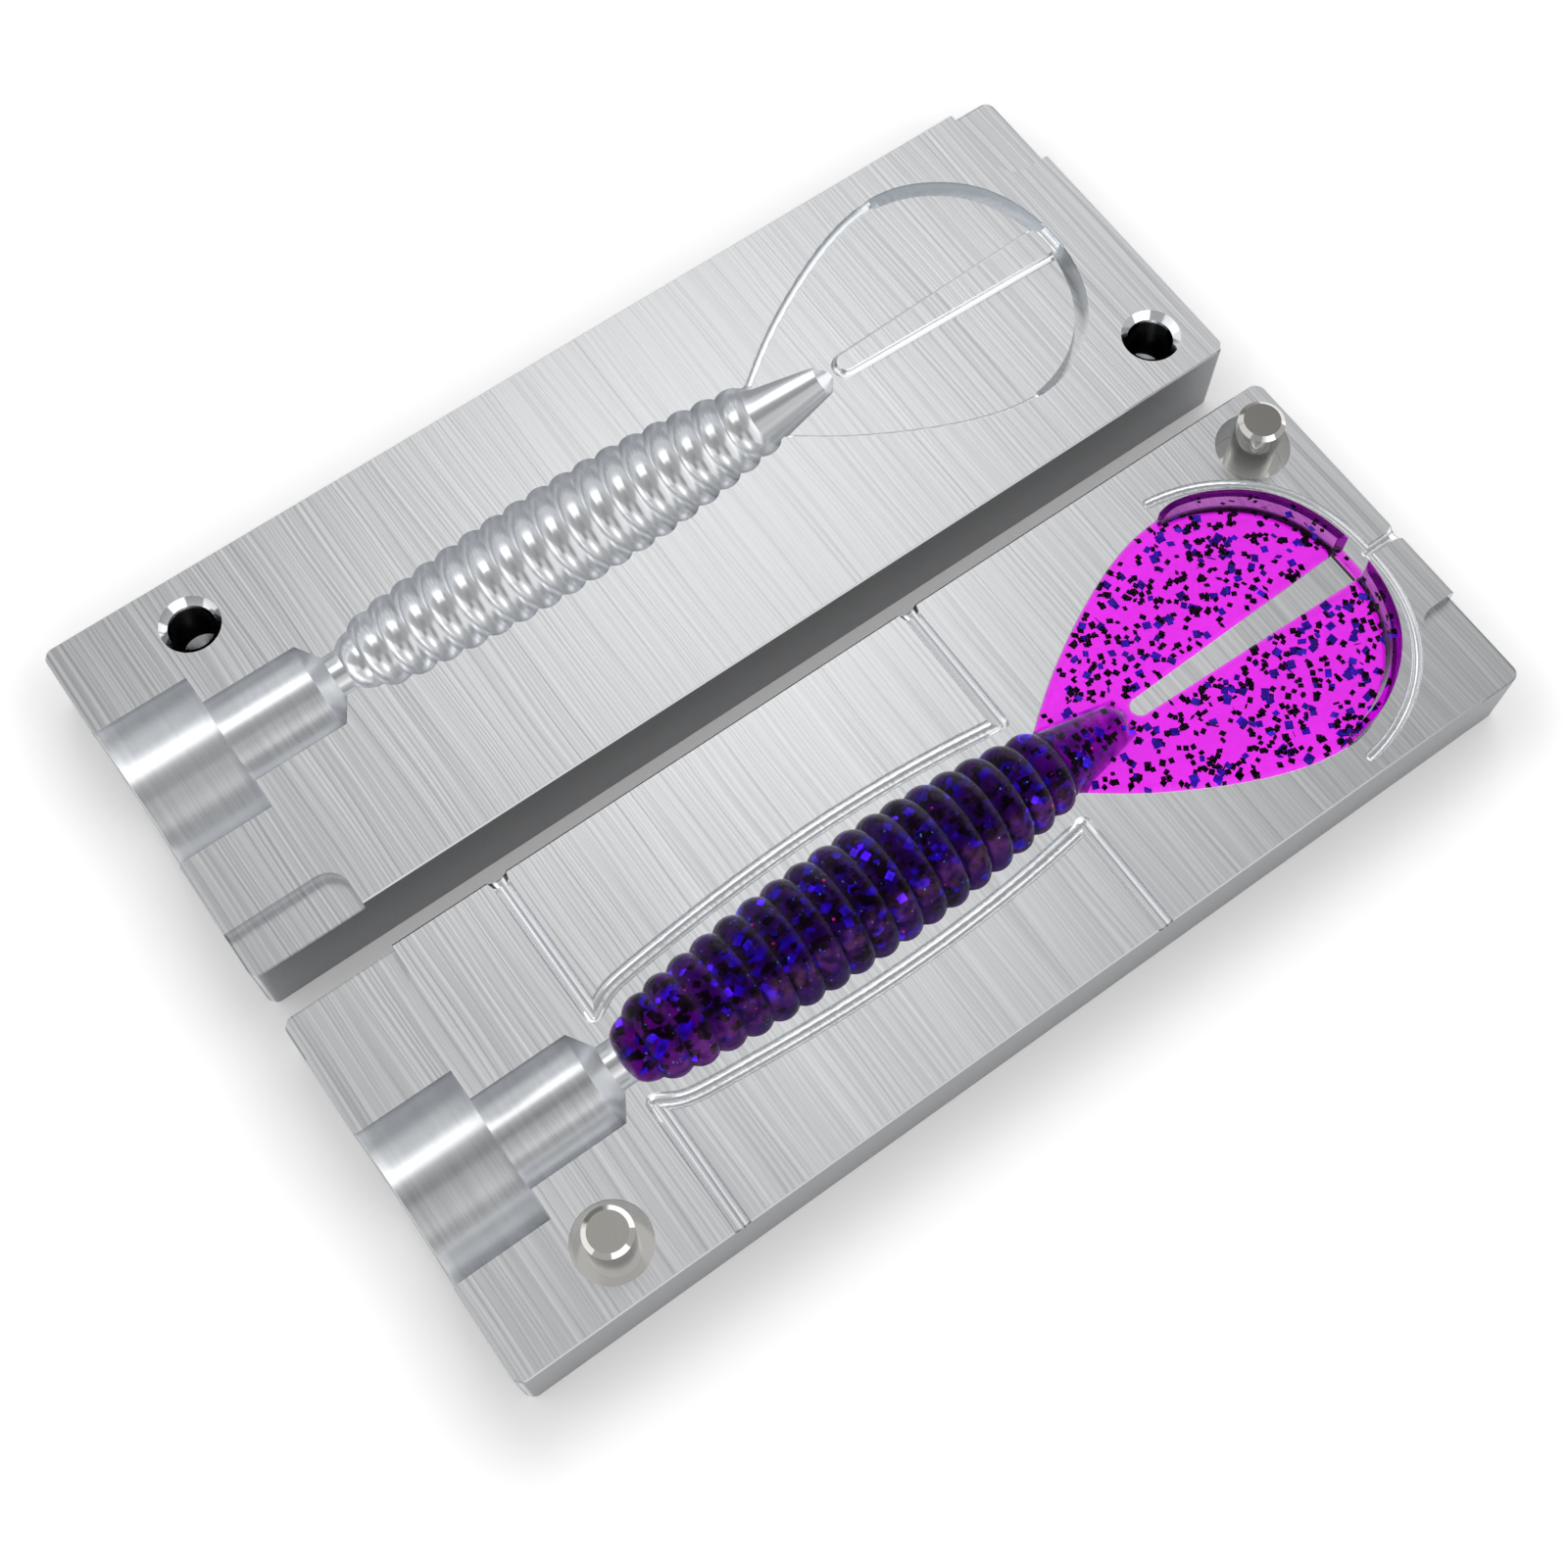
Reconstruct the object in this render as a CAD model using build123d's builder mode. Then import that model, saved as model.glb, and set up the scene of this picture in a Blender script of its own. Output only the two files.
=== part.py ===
from build123d import *
import os

# Two-piece open-and-shut injection mould for a soft-plastic ribbed fishing lure,
# lying open: the base half with its two guide pins and the casting still in it
# on the -Y side, the cover half beside it on the +Y side, cavities up.
# Millimetres. X runs from the pour end (-X) to the tail end (+X), Z is up,
# the origin is at the middle of the footprint on the table.

# ---- the two bars -------------------------------------------------------
length = 116.0        # along X
width = 40.0          # each half, along Y
thick = 10.0          # each half, along Z; the parting face is its top
gap = 5.0             # between the two halves as they lie
corner_r = 1.1        # upright corners of each bar
edge_break = 0.15     # small chamfer on the long and end edges

# ---- pour gate and body cavity, radii about the cavity axis --------------
axis_off = 1.4        # cavity axis from the bar's centre line, away from the spine
seat_r, seat_len = 8.2, 10.2          # seat for the injector's nozzle collar
nozzle_r, nozzle_end = 5.0, 20.35     # bore for the nozzle itself
gate_r, gate_start, gate_end = 2.43, 21.95, 23.40
rib_x = [25.44, 28.22, 30.98, 33.72, 36.49, 39.26, 42.01, 44.77, 47.53, 50.30,
         53.05, 55.80, 58.54, 61.30, 64.04, 66.80, 69.56, 72.40]
rib_r = [3.46, 4.17, 4.42, 4.72, 4.98, 5.16, 5.34, 5.44, 5.50, 5.52,
         5.50, 5.46, 5.32, 5.08, 4.82, 4.48, 4.10, 3.68]
rib_crown = 0.58      # how far each rib bulges past the chord of its two valleys
ridge_r = 0.12        # the ridges between the ribs of the cavity are eased by this much
cone_end, cone_end_r = 80.15, 2.00    # plain tapered root behind the ribs
tip_end, tip_end_r = 81.30, 0.80

# ---- flat paddle tail ---------------------------------------------------
tail_depth = 0.80     # depth of the paddle recess in each half
tail_edge_r = 0.74    # ball-nosed run-out round the paddle
tail = [(72.0, 2.95), (74.6, 4.95), (78.0, 7.36), (82.0, 9.74), (86.0, 11.78),
        (90.0, 13.44), (93.6, 14.46), (96.8, 14.82), (100.2, 14.38), (103.9, 12.62),
        (107.2, 9.66), (109.3, 5.60), (110.15, 0.0)]
rim_from, rim_stop = 97.0, 1.15   # where the lip starts, and how near the axis it stops
rim_proud = 0.05      # how far the lip's outer wall stands outside the paddle's edge
rim_depth = 2.80      # lip round the end of the paddle
rim_start_r = 1.90    # lead-in at the start of the lip
rim_draft = 0.30      # how far the lip's inner wall leans in over its depth
rim_inner = [(108.85, 1.85), (108.35, 4.10), (107.35, 6.80), (105.70, 9.35), (103.50, 11.42),
             (100.40, 13.10), (97.0, 13.90)]
wedge_tip, wedge_tip_r = 83.10, 0.92  # island that leaves the slot in the tail
wedge_end, wedge_end_hw = 108.75, 1.70
wedge_foot_r = 0.70
bridge_x, bridge_r, bridge_lift = 109.62, 0.62, 0.10  # thin web across the slot's open end

# ---- guide pins and their holes -----------------------------------------
pin_pour = (13.4, 14.4)      # (from the pour end, from the centre line away from the spine)
pin_tail = (110.6, -14.4)
pin_r, pin_low, pin_high = 2.35, 1.0, 15.0
pin_cone, pin_cone_r = 0.38, 0.48
well_r, well_depth = 3.8, 4.2
hole_r, hole_depth, hole_point = 2.40, 7.0, 1.38
sink_r, sink_depth = 3.10, 0.74

# ---- prying pockets and base-half grooves --------------------------------
pry_depth = 1.45
pry_round = 2.3
pry_pour = (12.1, 15.2)      # length along X from the pour end, distance of its inner side
pry_tail = (110.8, 9.7)
frame_off = 1.33             # the framing grooves' own centre line
frame_pts = [(23.50, 4.95), (24.25, 5.36), (25.1, 5.85), (26.1, 6.24), (27.4, 6.50), (30.0, 6.80),
             (38.0, 7.50), (50.0, 7.95), (60.0, 7.62), (71.20, 6.42)]
frame_r, frame_lift = 0.86, 0.06
flare_len, flare_r = 0.80, 1.10      # widened mouths where the grooves leave the spine side
moat = [(97.85, 16.80), (100.6, 16.25), (104.8, 14.45), (108.0, 11.90), (110.45, 8.40), (111.80, 4.30), (112.16, 0.0)]
moat_r, moat_lift = 0.58, 0.04
vent_start, vent_flare, vent_flare_r = 111.95, 115.20, 0.88

# ---- the casting, a shade smaller than its cavity ------------------------
shrink = 0.06
nose_x = 23.05        # domed nose, pinched off just inside the gate

x0 = -length / 2
axis_y = gap / 2 + width / 2 + axis_off
mid_y = gap / 2 + width / 2


def run(pts, at=axis_y):
    """Points (from the pour end, from the cavity axis) in the part's frame, on the cover's axis unless told."""
    return [(x0 + x, at + v) for x, v in pts]


profile_plane = Plane(origin=(x0, axis_y, thick), x_dir=(1, 0, 0), z_dir=(0, -1, 0))
cavity_axis = Axis((x0, axis_y, thick), (1, 0, 0))
parting = Plane.XY.offset(thick)

# ---- turned form of gate, ribbed body and root, common to both halves ----
with BuildPart() as core:
    with BuildSketch(profile_plane):
        with BuildLine():
            Polyline((tip_end, 0), (-2, 0), (-2, seat_r + 0.2), (0, seat_r + 0.2), (0.2, seat_r),
                     (seat_len, seat_r), (seat_len, nozzle_r), (nozzle_end, nozzle_r),
                     (gate_start, gate_r), (gate_end, gate_r))
            ThreePointArc((gate_end, gate_r), (24.22, 3.14), (rib_x[0], rib_r[0]))
            for i in range(len(rib_x) - 1):
                a, b = (rib_x[i], rib_r[i]), (rib_x[i + 1], rib_r[i + 1])
                ThreePointArc(a, ((a[0] + b[0]) / 2, (a[1] + b[1]) / 2 + rib_crown), b)
            Polyline((rib_x[-1], rib_r[-1]), (cone_end, cone_end_r), (tip_end, tip_end_r), (tip_end, 0))
        make_face()
        ridges = [v for v in vertices() if any(
            abs(v.X - x) < 0.01 and abs(v.Y - r) < 0.01 for x, r in zip(rib_x[1:-1], rib_r[1:-1]))]
        fillet(ridges, ridge_r)
    revolve(axis=cavity_axis)

# ---- paddle recess with the wedge island left standing in it -------------
outline = tail + [(x, -v) for x, v in reversed(tail[:-1])]
paddle_edge = Spline(*run(outline))

with BuildPart() as paddle:
    with BuildSketch(parting):
        with BuildLine():
            add(paddle_edge)
            Line(paddle_edge @ 1, paddle_edge @ 0)
        make_face()
    extrude(amount=-tail_depth)
    low = paddle.edges().group_by(Axis.Z)[0].sort_by(Edge.length)[-1]
    fillet(low, tail_edge_r)
    with BuildSketch(parting):
        with BuildLine():
            top = run([(wedge_tip, wedge_tip_r), (wedge_end, wedge_end_hw)])
            bot = run([(wedge_tip, -wedge_tip_r), (wedge_end, -wedge_end_hw)])
            nose = run([(wedge_tip - wedge_tip_r, 0)])[0]
            Line(*top)
            Line(top[1], bot[1])
            Line(bot[1], bot[0])
            ThreePointArc(bot[0], nose, top[0])
        make_face()
    extrude(amount=-tail_depth - 1, mode=Mode.SUBTRACT)
    foot = paddle.edges().group_by(Axis.Z)[0].filter_by(
        lambda e: abs(e.center().Y - axis_y) < wedge_end_hw + 0.2 and e.length < 40
        and x0 + wedge_tip - wedge_tip_r - 0.1 < e.center().X < x0 + wedge_end - 0.5)
    fillet(foot, wedge_foot_r)

def lip_outer(side, proud, at=axis_y, start=rim_from, stop=rim_stop, steps=14):
    """Points just outside the paddle's edge, from the lip's start to its end, on one side."""
    found = []
    for i in range(401):
        t = i / 400 if side > 0 else 1 - i / 400
        p, d = paddle_edge @ t, paddle_edge % t
        x, v = p.X - x0, p.Y - axis_y
        if v * side < stop or x < start:
            continue
        n = Vector(-d.Y, d.X)
        found.append((p.X + n.X * proud, p.Y + n.Y * proud - axis_y + at))
    step = (len(found) - 1) / steps
    return [found[round(k * step)] for k in range(steps + 1)]


with BuildPart() as lip:
    for side in (1, -1):
        for depth, shift in ((0, 0.0), (rim_depth, rim_draft)):
            with BuildSketch(parting.offset(-depth)):
                with BuildLine():
                    outer = lip_outer(side, rim_proud)
                    inner = run([(x + shift * 0.7, side * (v + shift * 0.7)) for x, v in rim_inner])
                    Spline(*outer)
                    Line(outer[-1], inner[0])
                    Spline(*inner)
                    Line(inner[-1], outer[0])
                make_face()
        loft(ruled=True)
    with BuildSketch(Plane(origin=(x0 + rim_from, axis_y, thick - rim_depth), x_dir=(1, 0, 0), z_dir=(0, -1, 0))):
        with BuildLine():
            r = rim_start_r
            Polyline((r, 0), (r, -0.5), (-1, -0.5), (-1, r), (-0.02, r))
            ThreePointArc((-0.02, r), (r * 0.2929, r * 0.2929), (r, 0))
        make_face()
    extrude(amount=20, both=True, mode=Mode.SUBTRACT)

with BuildPart() as web:
    with BuildSketch(Plane(origin=(x0 + bridge_x, axis_y - 1.9, thick + bridge_lift), x_dir=(1, 0, 0), z_dir=(0, 1, 0))):
        Circle(bridge_r)
    extrude(amount=3.8)

# ---- prying pockets, open to two sides of the bar ------------------------
with BuildPart() as pries:
    with BuildSketch(parting.offset(1)):
        with BuildLine():
            Polyline((x0 - 3, mid_y - width / 2 - 3), (x0 + pry_pour[0], mid_y - width / 2 - 3),
                     (x0 + pry_pour[0], mid_y - pry_pour[1]), (x0 - 3, mid_y - pry_pour[1]), close=True)
        make_face()
        with BuildLine():
            Polyline((-x0 + 3, mid_y + width / 2 + 3), (x0 + pry_tail[0], mid_y + width / 2 + 3),
                     (x0 + pry_tail[0], mid_y + pry_tail[1]), (-x0 + 3, mid_y + pry_tail[1]), close=True)
        make_face()
    extrude(amount=-pry_depth - 1)
    inner_corners = pries.edges().filter_by(Axis.Z).filter_by(
        lambda e: abs(e.center().X) < -x0 and abs(e.center().Y - mid_y) < width / 2)
    fillet(inner_corners, pry_round)

# ---- cover half ----------------------------------------------------------
with BuildPart() as cover_half:
    with BuildSketch(Plane(origin=(0, mid_y, 0))):
        RectangleRounded(length, width, corner_r)
    extrude(amount=thick)
    rims = cover_half.edges().group_by(Axis.Z)
    chamfer(rims[0] + rims[-1], edge_break)
    for tool in (core, paddle, lip, web, pries):
        add(tool.part, mode=Mode.SUBTRACT)
    for x, v in (pin_pour, pin_tail):
        with BuildSketch(Plane(origin=(x0 + x, mid_y + v, thick), x_dir=(1, 0, 0), z_dir=(0, -1, 0))):
            with BuildLine():
                Polyline((0, 1), (sink_r, 1), (sink_r, 0), (hole_r, -sink_depth), (hole_r, -hole_depth),
                         (0, -hole_depth - hole_point), close=True)
            make_face()
        revolve(axis=Axis((x0 + x, mid_y + v, 0), (0, 0, 1)), mode=Mode.SUBTRACT)

# ---- base half, the mirror image, with pins, grooves and vent ------------
frame_y = -mid_y - frame_off
frame_z = thick + frame_lift
frame_ends = [(x0 + frame_pts[0][0], frame_pts[0][1]), (x0 + frame_pts[-1][0], frame_pts[-1][1])]

with BuildPart() as legs_inner:      # from the body out to the spine side, mouths widened
    for x, v in frame_ends:
        with BuildSketch(Plane(origin=(x, frame_y + v, frame_z), x_dir=(1, 0, 0), z_dir=(0, 0, 1))):
            reach = -gap / 2 - (frame_y + v)
            with BuildLine():
                Polyline((0, -frame_r), (0, reach + 2), (flare_r, reach + 2), (flare_r, reach), (frame_r, reach - flare_len), (frame_r, 0))
                ThreePointArc((frame_r, 0), (frame_r * 0.7071, -frame_r * 0.7071), (0, -frame_r))
            make_face()
        revolve(axis=Axis((x, frame_y + v, frame_z), (0, 1, 0)))

with BuildPart() as legs_outer:      # from the body out to the other long side
    for x, v in frame_ends:
        with BuildSketch(Plane(origin=(x, frame_y - v, frame_z), x_dir=(1, 0, 0), z_dir=(0, 0, 1))):
            reach = -gap / 2 - width - (frame_y - v) - 2
            with BuildLine():
                Polyline((0, frame_r), (0, reach), (frame_r, reach), (frame_r, 0))
                ThreePointArc((frame_r, 0), (frame_r * 0.7071, frame_r * 0.7071), (0, frame_r))
            make_face()
        revolve(axis=Axis((x, frame_y - v, frame_z), (0, 1, 0)))

with BuildPart() as bow_inner:
    with BuildLine():
        bow = Spline(*[(x0 + x, frame_y + v, frame_z) for x, v in frame_pts])
    with BuildSketch(Plane(origin=bow @ 0, z_dir=bow % 0)):
        Circle(frame_r)
    sweep(path=bow)

with BuildPart() as bow_outer:
    with BuildLine():
        bow = Spline(*[(x0 + x, frame_y - v, frame_z) for x, v in frame_pts])
    with BuildSketch(Plane(origin=bow @ 0, z_dir=bow % 0)):
        Circle(frame_r)
    sweep(path=bow)

with BuildPart() as channels:
    pts = moat + [(x, -v) for x, v in reversed(moat[:-1])]
    path = [(x0 + x, -axis_y + v, thick + moat_lift) for x, v in pts]
    with BuildLine():
        arc = Spline(*path)
    with BuildSketch(Plane(origin=arc @ 0, z_dir=arc % 0)):
        Circle(moat_r)
    sweep(path=arc)
    for end in (path[0], path[-1]):
        with BuildSketch(Plane(origin=end)):
            with BuildLine():
                Line((0, -moat_r), (0, moat_r))
                ThreePointArc((0, moat_r), (moat_r, 0), (0, -moat_r))
            make_face()
        revolve(axis=Axis(end, (0, 1, 0)))
    with BuildSketch(Plane(origin=(x0, -axis_y, thick + moat_lift))):
        with BuildLine():
            Polyline((vent_start, moat_r), (vent_flare, moat_r), (length, vent_flare_r), (length + 2, vent_flare_r),
                     (length + 2, 0), (vent_start - moat_r, 0))
            ThreePointArc((vent_start - moat_r, 0), (vent_start - moat_r * 0.7071, moat_r * 0.7071), (vent_start, moat_r))
        make_face()
    revolve(axis=Axis((x0, -axis_y, thick + moat_lift), (1, 0, 0)))

with BuildPart() as base_half:
    with BuildSketch(Plane(origin=(0, -mid_y, 0))):
        RectangleRounded(length, width, corner_r)
    extrude(amount=thick)
    rims = base_half.edges().group_by(Axis.Z)
    chamfer(rims[0] + rims[-1], edge_break)
    for tool in (core, paddle, lip, web, pries):
        mirror(tool.part, about=Plane.XZ, mode=Mode.SUBTRACT)
    for x, v in (pin_pour, pin_tail):
        with BuildSketch(Plane(origin=(x0 + x, -mid_y - v, thick), x_dir=(1, 0, 0), z_dir=(0, -1, 0))):
            with BuildLine():
                Polyline((0, 1), (well_r, 1), (well_r, -well_depth), (pin_r, -well_depth), (pin_r, pin_low - thick),
                         (0, pin_low - thick), close=True)
            make_face()
        revolve(axis=Axis((x0 + x, -mid_y - v, 0), (0, 0, 1)), mode=Mode.SUBTRACT)
    for tool in (legs_inner, legs_outer, bow_inner, bow_outer, channels):
        add(tool.part, mode=Mode.SUBTRACT)

# ---- guide pins: plain ground dowels pressed into the base ---------------
with BuildPart() as guide_pin_pour:
    with BuildSketch(Plane(origin=(x0 + pin_pour[0], -mid_y - pin_pour[1], pin_low))):
        Circle(pin_r)
    extrude(amount=pin_high - pin_low)
    chamfer(guide_pin_pour.edges().group_by(Axis.Z)[-1], pin_cone, pin_cone_r)
    chamfer(guide_pin_pour.edges().group_by(Axis.Z)[0], 0.2)

with BuildPart() as guide_pin_tail:
    with BuildSketch(Plane(origin=(x0 + pin_tail[0], -mid_y - pin_tail[1], pin_low))):
        Circle(pin_r)
    extrude(amount=pin_high - pin_low)
    chamfer(guide_pin_tail.edges().group_by(Axis.Z)[-1], pin_cone, pin_cone_r)
    chamfer(guide_pin_tail.edges().group_by(Axis.Z)[0], 0.2)

# ---- the casting: one soft piece that fills body and tail, cut off at the gate
cast_y = -axis_y
cast_edge = paddle_edge.moved(Location((0, -2 * axis_y, 0)))

with BuildPart() as cast_body:
    with BuildSketch(Plane(origin=(x0, cast_y, thick), x_dir=(1, 0, 0), z_dir=(0, -1, 0))):
        with BuildLine():
            Line((tip_end - shrink, 0), (nose_x, 0))
            ThreePointArc((nose_x, 0), (nose_x + 0.12, 1.35), (gate_end + 0.08, gate_r - shrink))
            ThreePointArc((gate_end + 0.08, gate_r - shrink), (24.26, 3.14 - shrink), (rib_x[0], rib_r[0] - shrink))
            for i in range(len(rib_x) - 1):
                a, b = (rib_x[i], rib_r[i] - shrink), (rib_x[i + 1], rib_r[i + 1] - shrink)
                ThreePointArc(a, ((a[0] + b[0]) / 2, (a[1] + b[1]) / 2 + rib_crown), b)
            Polyline((rib_x[-1], rib_r[-1] - shrink), (cone_end - shrink / 2, cone_end_r - shrink),
                     (tip_end - shrink, tip_end_r - shrink), (tip_end - shrink, 0))
        make_face()
    revolve(axis=Axis((x0, cast_y, thick), (1, 0, 0)))

def drawn_in(edge, by, steps=48):
    """Points a little inside an edge of the paddle, evenly along it."""
    pts = []
    for i in range(steps + 1):
        p, d = edge @ (i / steps), edge % (i / steps)
        pts.append((p.X + d.Y * by, p.Y - d.X * by))
    return pts


with BuildPart() as cast_tail:
    half_thick = tail_depth - shrink
    with BuildSketch(parting.offset(-0.02)):
        with BuildLine():
            inside = drawn_in(cast_edge, shrink)
            Spline(*inside)
            Line(inside[-1], inside[0])
        make_face()
    extrude(amount=half_thick + 0.02)
    high = cast_tail.edges().group_by(Axis.Z)[-1].sort_by(Edge.length)[-1]
    fillet(high, tail_edge_r - shrink)
    with BuildSketch(parting.offset(-2)):
        with BuildLine():
            top = run([(wedge_tip, wedge_tip_r + shrink), (wedge_end + 0.3, wedge_end_hw + shrink)], cast_y)
            bot = run([(wedge_tip, -wedge_tip_r - shrink), (wedge_end + 0.3, -wedge_end_hw - shrink)], cast_y)
            nose = run([(wedge_tip - wedge_tip_r - shrink, 0)], cast_y)[0]
            Line(*top)
            Line(top[1], bot[1])
            Line(bot[1], bot[0])
            ThreePointArc(bot[0], nose, top[0])
        make_face()
    extrude(amount=4, mode=Mode.SUBTRACT)
    slot = cast_tail.edges().group_by(Axis.Z)[-1].filter_by(
        lambda e: abs(e.center().Y - cast_y) < wedge_end_hw + 0.3
        and x0 + wedge_tip - wedge_tip_r - 0.2 < e.center().X < x0 + wedge_end - 0.5)
    fillet(slot, wedge_foot_r - shrink)

with BuildPart() as cast_lip:
    for side in (1, -1):
        for depth, shift in ((-0.01, 0.0), (rim_depth - shrink, rim_draft)):
            with BuildSketch(parting.offset(depth)):
                with BuildLine():
                    outer = lip_outer(side, rim_proud - 2 * shrink, cast_y, rim_from + shrink, rim_stop + 2 * shrink)
                    inner = run([(x + (shift + shrink) * 0.7, side * (v + (shift + shrink) * 0.7)) for x, v in rim_inner], cast_y)
                    Spline(*outer)
                    Line(outer[-1], inner[0])
                    Spline(*inner)
                    Line(inner[-1], outer[0])
                make_face()
        loft(ruled=True)
    r = rim_start_r
    with BuildSketch(Plane(origin=(x0 + rim_from + shrink, cast_y, thick + rim_depth - shrink), x_dir=(1, 0, 0), z_dir=(0, -1, 0))):
        with BuildLine():
            Polyline((r, 0), (r, 0.5), (-1, 0.5), (-1, -r), (-0.02, -r))
            ThreePointArc((-0.02, -r), (r * 0.2929, -r * 0.2929), (r, 0))
        make_face()
    extrude(amount=20, both=True, mode=Mode.SUBTRACT)

with BuildPart() as cast_web:
    for k, m in ((1, Mode.ADD), (-1, Mode.INTERSECT)):
        with BuildSketch(Plane(origin=(x0 + bridge_x, cast_y - 1.8, thick + k * bridge_lift), x_dir=(1, 0, 0), z_dir=(0, 1, 0))):
            Circle(bridge_r - shrink)
        extrude(amount=3.6, mode=m)

with BuildPart() as cast_lure:
    add(cast_body.part)
    add(cast_tail.part)
    mirror(cast_tail.part, about=parting)
    add(cast_lip.part)
    mirror(cast_lip.part, about=parting)
    add(cast_web.part)

os.makedirs("parts", exist_ok=True)
for piece, label in ((cover_half, "cover_half"), (base_half, "base_half"),
                     (guide_pin_pour, "guide_pin_pour"), (guide_pin_tail, "guide_pin_tail"),
                     (cast_lure, "cast_lure")):
    piece.part.label = label
    export_step(piece.part, f"parts/{label}.step")
    print(label, piece.part.volume, piece.part.is_valid, len(piece.part.solids()), len(piece.part.faces()))
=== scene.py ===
import math
import random

import bmesh
import bpy
import numpy as np
from mathutils import Matrix, Vector
from mathutils.bvhtree import BVHTree


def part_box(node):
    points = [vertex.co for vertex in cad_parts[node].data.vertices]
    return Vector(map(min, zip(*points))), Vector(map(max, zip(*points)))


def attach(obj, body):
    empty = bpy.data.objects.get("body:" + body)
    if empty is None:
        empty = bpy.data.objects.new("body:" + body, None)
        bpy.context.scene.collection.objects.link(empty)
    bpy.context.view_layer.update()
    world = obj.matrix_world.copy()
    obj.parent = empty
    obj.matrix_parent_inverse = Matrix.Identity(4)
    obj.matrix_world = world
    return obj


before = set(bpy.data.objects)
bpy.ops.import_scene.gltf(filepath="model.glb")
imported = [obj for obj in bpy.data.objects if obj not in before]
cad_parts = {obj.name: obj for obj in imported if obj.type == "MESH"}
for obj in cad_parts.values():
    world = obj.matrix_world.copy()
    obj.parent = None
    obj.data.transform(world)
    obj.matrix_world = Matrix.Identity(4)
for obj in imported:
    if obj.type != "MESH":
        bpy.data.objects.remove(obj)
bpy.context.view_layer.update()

scene = bpy.context.scene
scene.view_settings.view_transform = "Standard"
scene.view_settings.look = "None"
scene.view_settings.exposure = 0.0
scene.view_settings.gamma = 1.0
random.seed(7)

MM = 0.001
ROUGH_FLAT, ROUGH_CUT = 0.30, 0.21      # brushed level faces; cut bores, ribs and grooves

# ---------------------------------------------------------------- camera
RIGHT = Vector((0.813383331, -0.581727394, -0.000892320571))
DOWN = Vector((-0.538812048, -0.752798195, -0.378122275))
AHEAD = Vector((0.219292348, 0.308039149, -0.925755231))
cam_data = bpy.data.cameras.new("camera")
cam = bpy.data.objects.new("camera", cam_data)
scene.collection.objects.link(cam)
rot = Matrix((RIGHT, -DOWN, -AHEAD)).transposed()
cam.matrix_world = Matrix.Translation(Vector((-52.9068342, -74.61108437, 202.61436859)) * MM) @ rot.to_4x4()
cam_data.sensor_width = 36.0
cam_data.sensor_fit = "AUTO"
cam_data.lens = 2243.985418619519 / 1600 * 36.0
cam_data.clip_start, cam_data.clip_end = 0.005, 20.0
scene.camera = cam


# ---------------------------------------------------------------- node helpers
class Nodes:
    """Small helper around one node tree."""

    def __init__(self, tree):
        self.t = tree
        tree.nodes.clear()

    def new(self, kind, **sets):
        n = self.t.nodes.new(kind)
        for k, v in sets.items():
            setattr(n, k, v)
        return n

    def link(self, a, b):
        self.t.links.new(a, b)
        return b

    def put(self, socket, value):
        if isinstance(value, bpy.types.NodeSocket):
            self.t.links.new(value, socket)
        else:
            socket.default_value = value

    def math(self, op, a, b=None, c=None, clamp=False):
        n = self.new("ShaderNodeMath", operation=op, use_clamp=clamp)
        self.put(n.inputs[0], a)
        if b is not None:
            self.put(n.inputs[1], b)
        if c is not None:
            self.put(n.inputs[2], c)
        return n.outputs[0]

    def vmath(self, op, a, b=None, scale=None):
        n = self.new("ShaderNodeVectorMath", operation=op)
        self.put(n.inputs[0], a)
        if b is not None:
            self.put(n.inputs[1], b)
        if scale is not None:
            self.put(n.inputs["Scale"], scale)
        return n.outputs["Value"] if op in ("LENGTH", "DOT_PRODUCT", "DISTANCE") else n.outputs["Vector"]

    def xyz(self, v):
        n = self.new("ShaderNodeSeparateXYZ")
        self.link(v, n.inputs[0])
        return n.outputs

    def combine(self, x, y, z):
        n = self.new("ShaderNodeCombineXYZ")
        for i, v in enumerate((x, y, z)):
            self.put(n.inputs[i], v)
        return n.outputs[0]

    def noise(self, vec, scale=1.0, detail=2.0, rough=0.5, dims="3D"):
        n = self.new("ShaderNodeTexNoise", noise_dimensions=dims)
        self.link(vec, n.inputs["Vector"])
        n.inputs["Scale"].default_value = scale
        n.inputs["Detail"].default_value = detail
        n.inputs["Roughness"].default_value = rough
        return n.outputs["Fac"]

    def mapr(self, v, a, b, c, d, clamp=True, smooth=False):
        n = self.new("ShaderNodeMapRange", clamp=clamp)
        if smooth:
            n.interpolation_type = "SMOOTHSTEP"
        self.put(n.inputs["Value"], v)
        for k, x in zip(("From Min", "From Max", "To Min", "To Max"), (a, b, c, d)):
            self.put(n.inputs[k], x)
        return n.outputs[0]

    def mixc(self, f, a, b):
        n = self.new("ShaderNodeMix", data_type="RGBA")
        self.put(n.inputs[0], f)
        self.put(n.inputs[6], a)
        self.put(n.inputs[7], b)
        return n.outputs[2]

    def mixf(self, f, a, b):
        n = self.new("ShaderNodeMix", data_type="FLOAT")
        self.put(n.inputs[0], f)
        self.put(n.inputs[2], a)
        self.put(n.inputs[3], b)
        return n.outputs[0]

    def scalec(self, colour, factor):
        """A constant colour times a factor socket."""
        n = self.new("ShaderNodeVectorMath", operation="SCALE")
        self.put(n.inputs[0], colour)
        self.put(n.inputs["Scale"], factor)
        return n.outputs["Vector"]


def material(name):
    m = bpy.data.materials.new(name)
    m.use_nodes = True
    return m, Nodes(m.node_tree)


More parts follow.
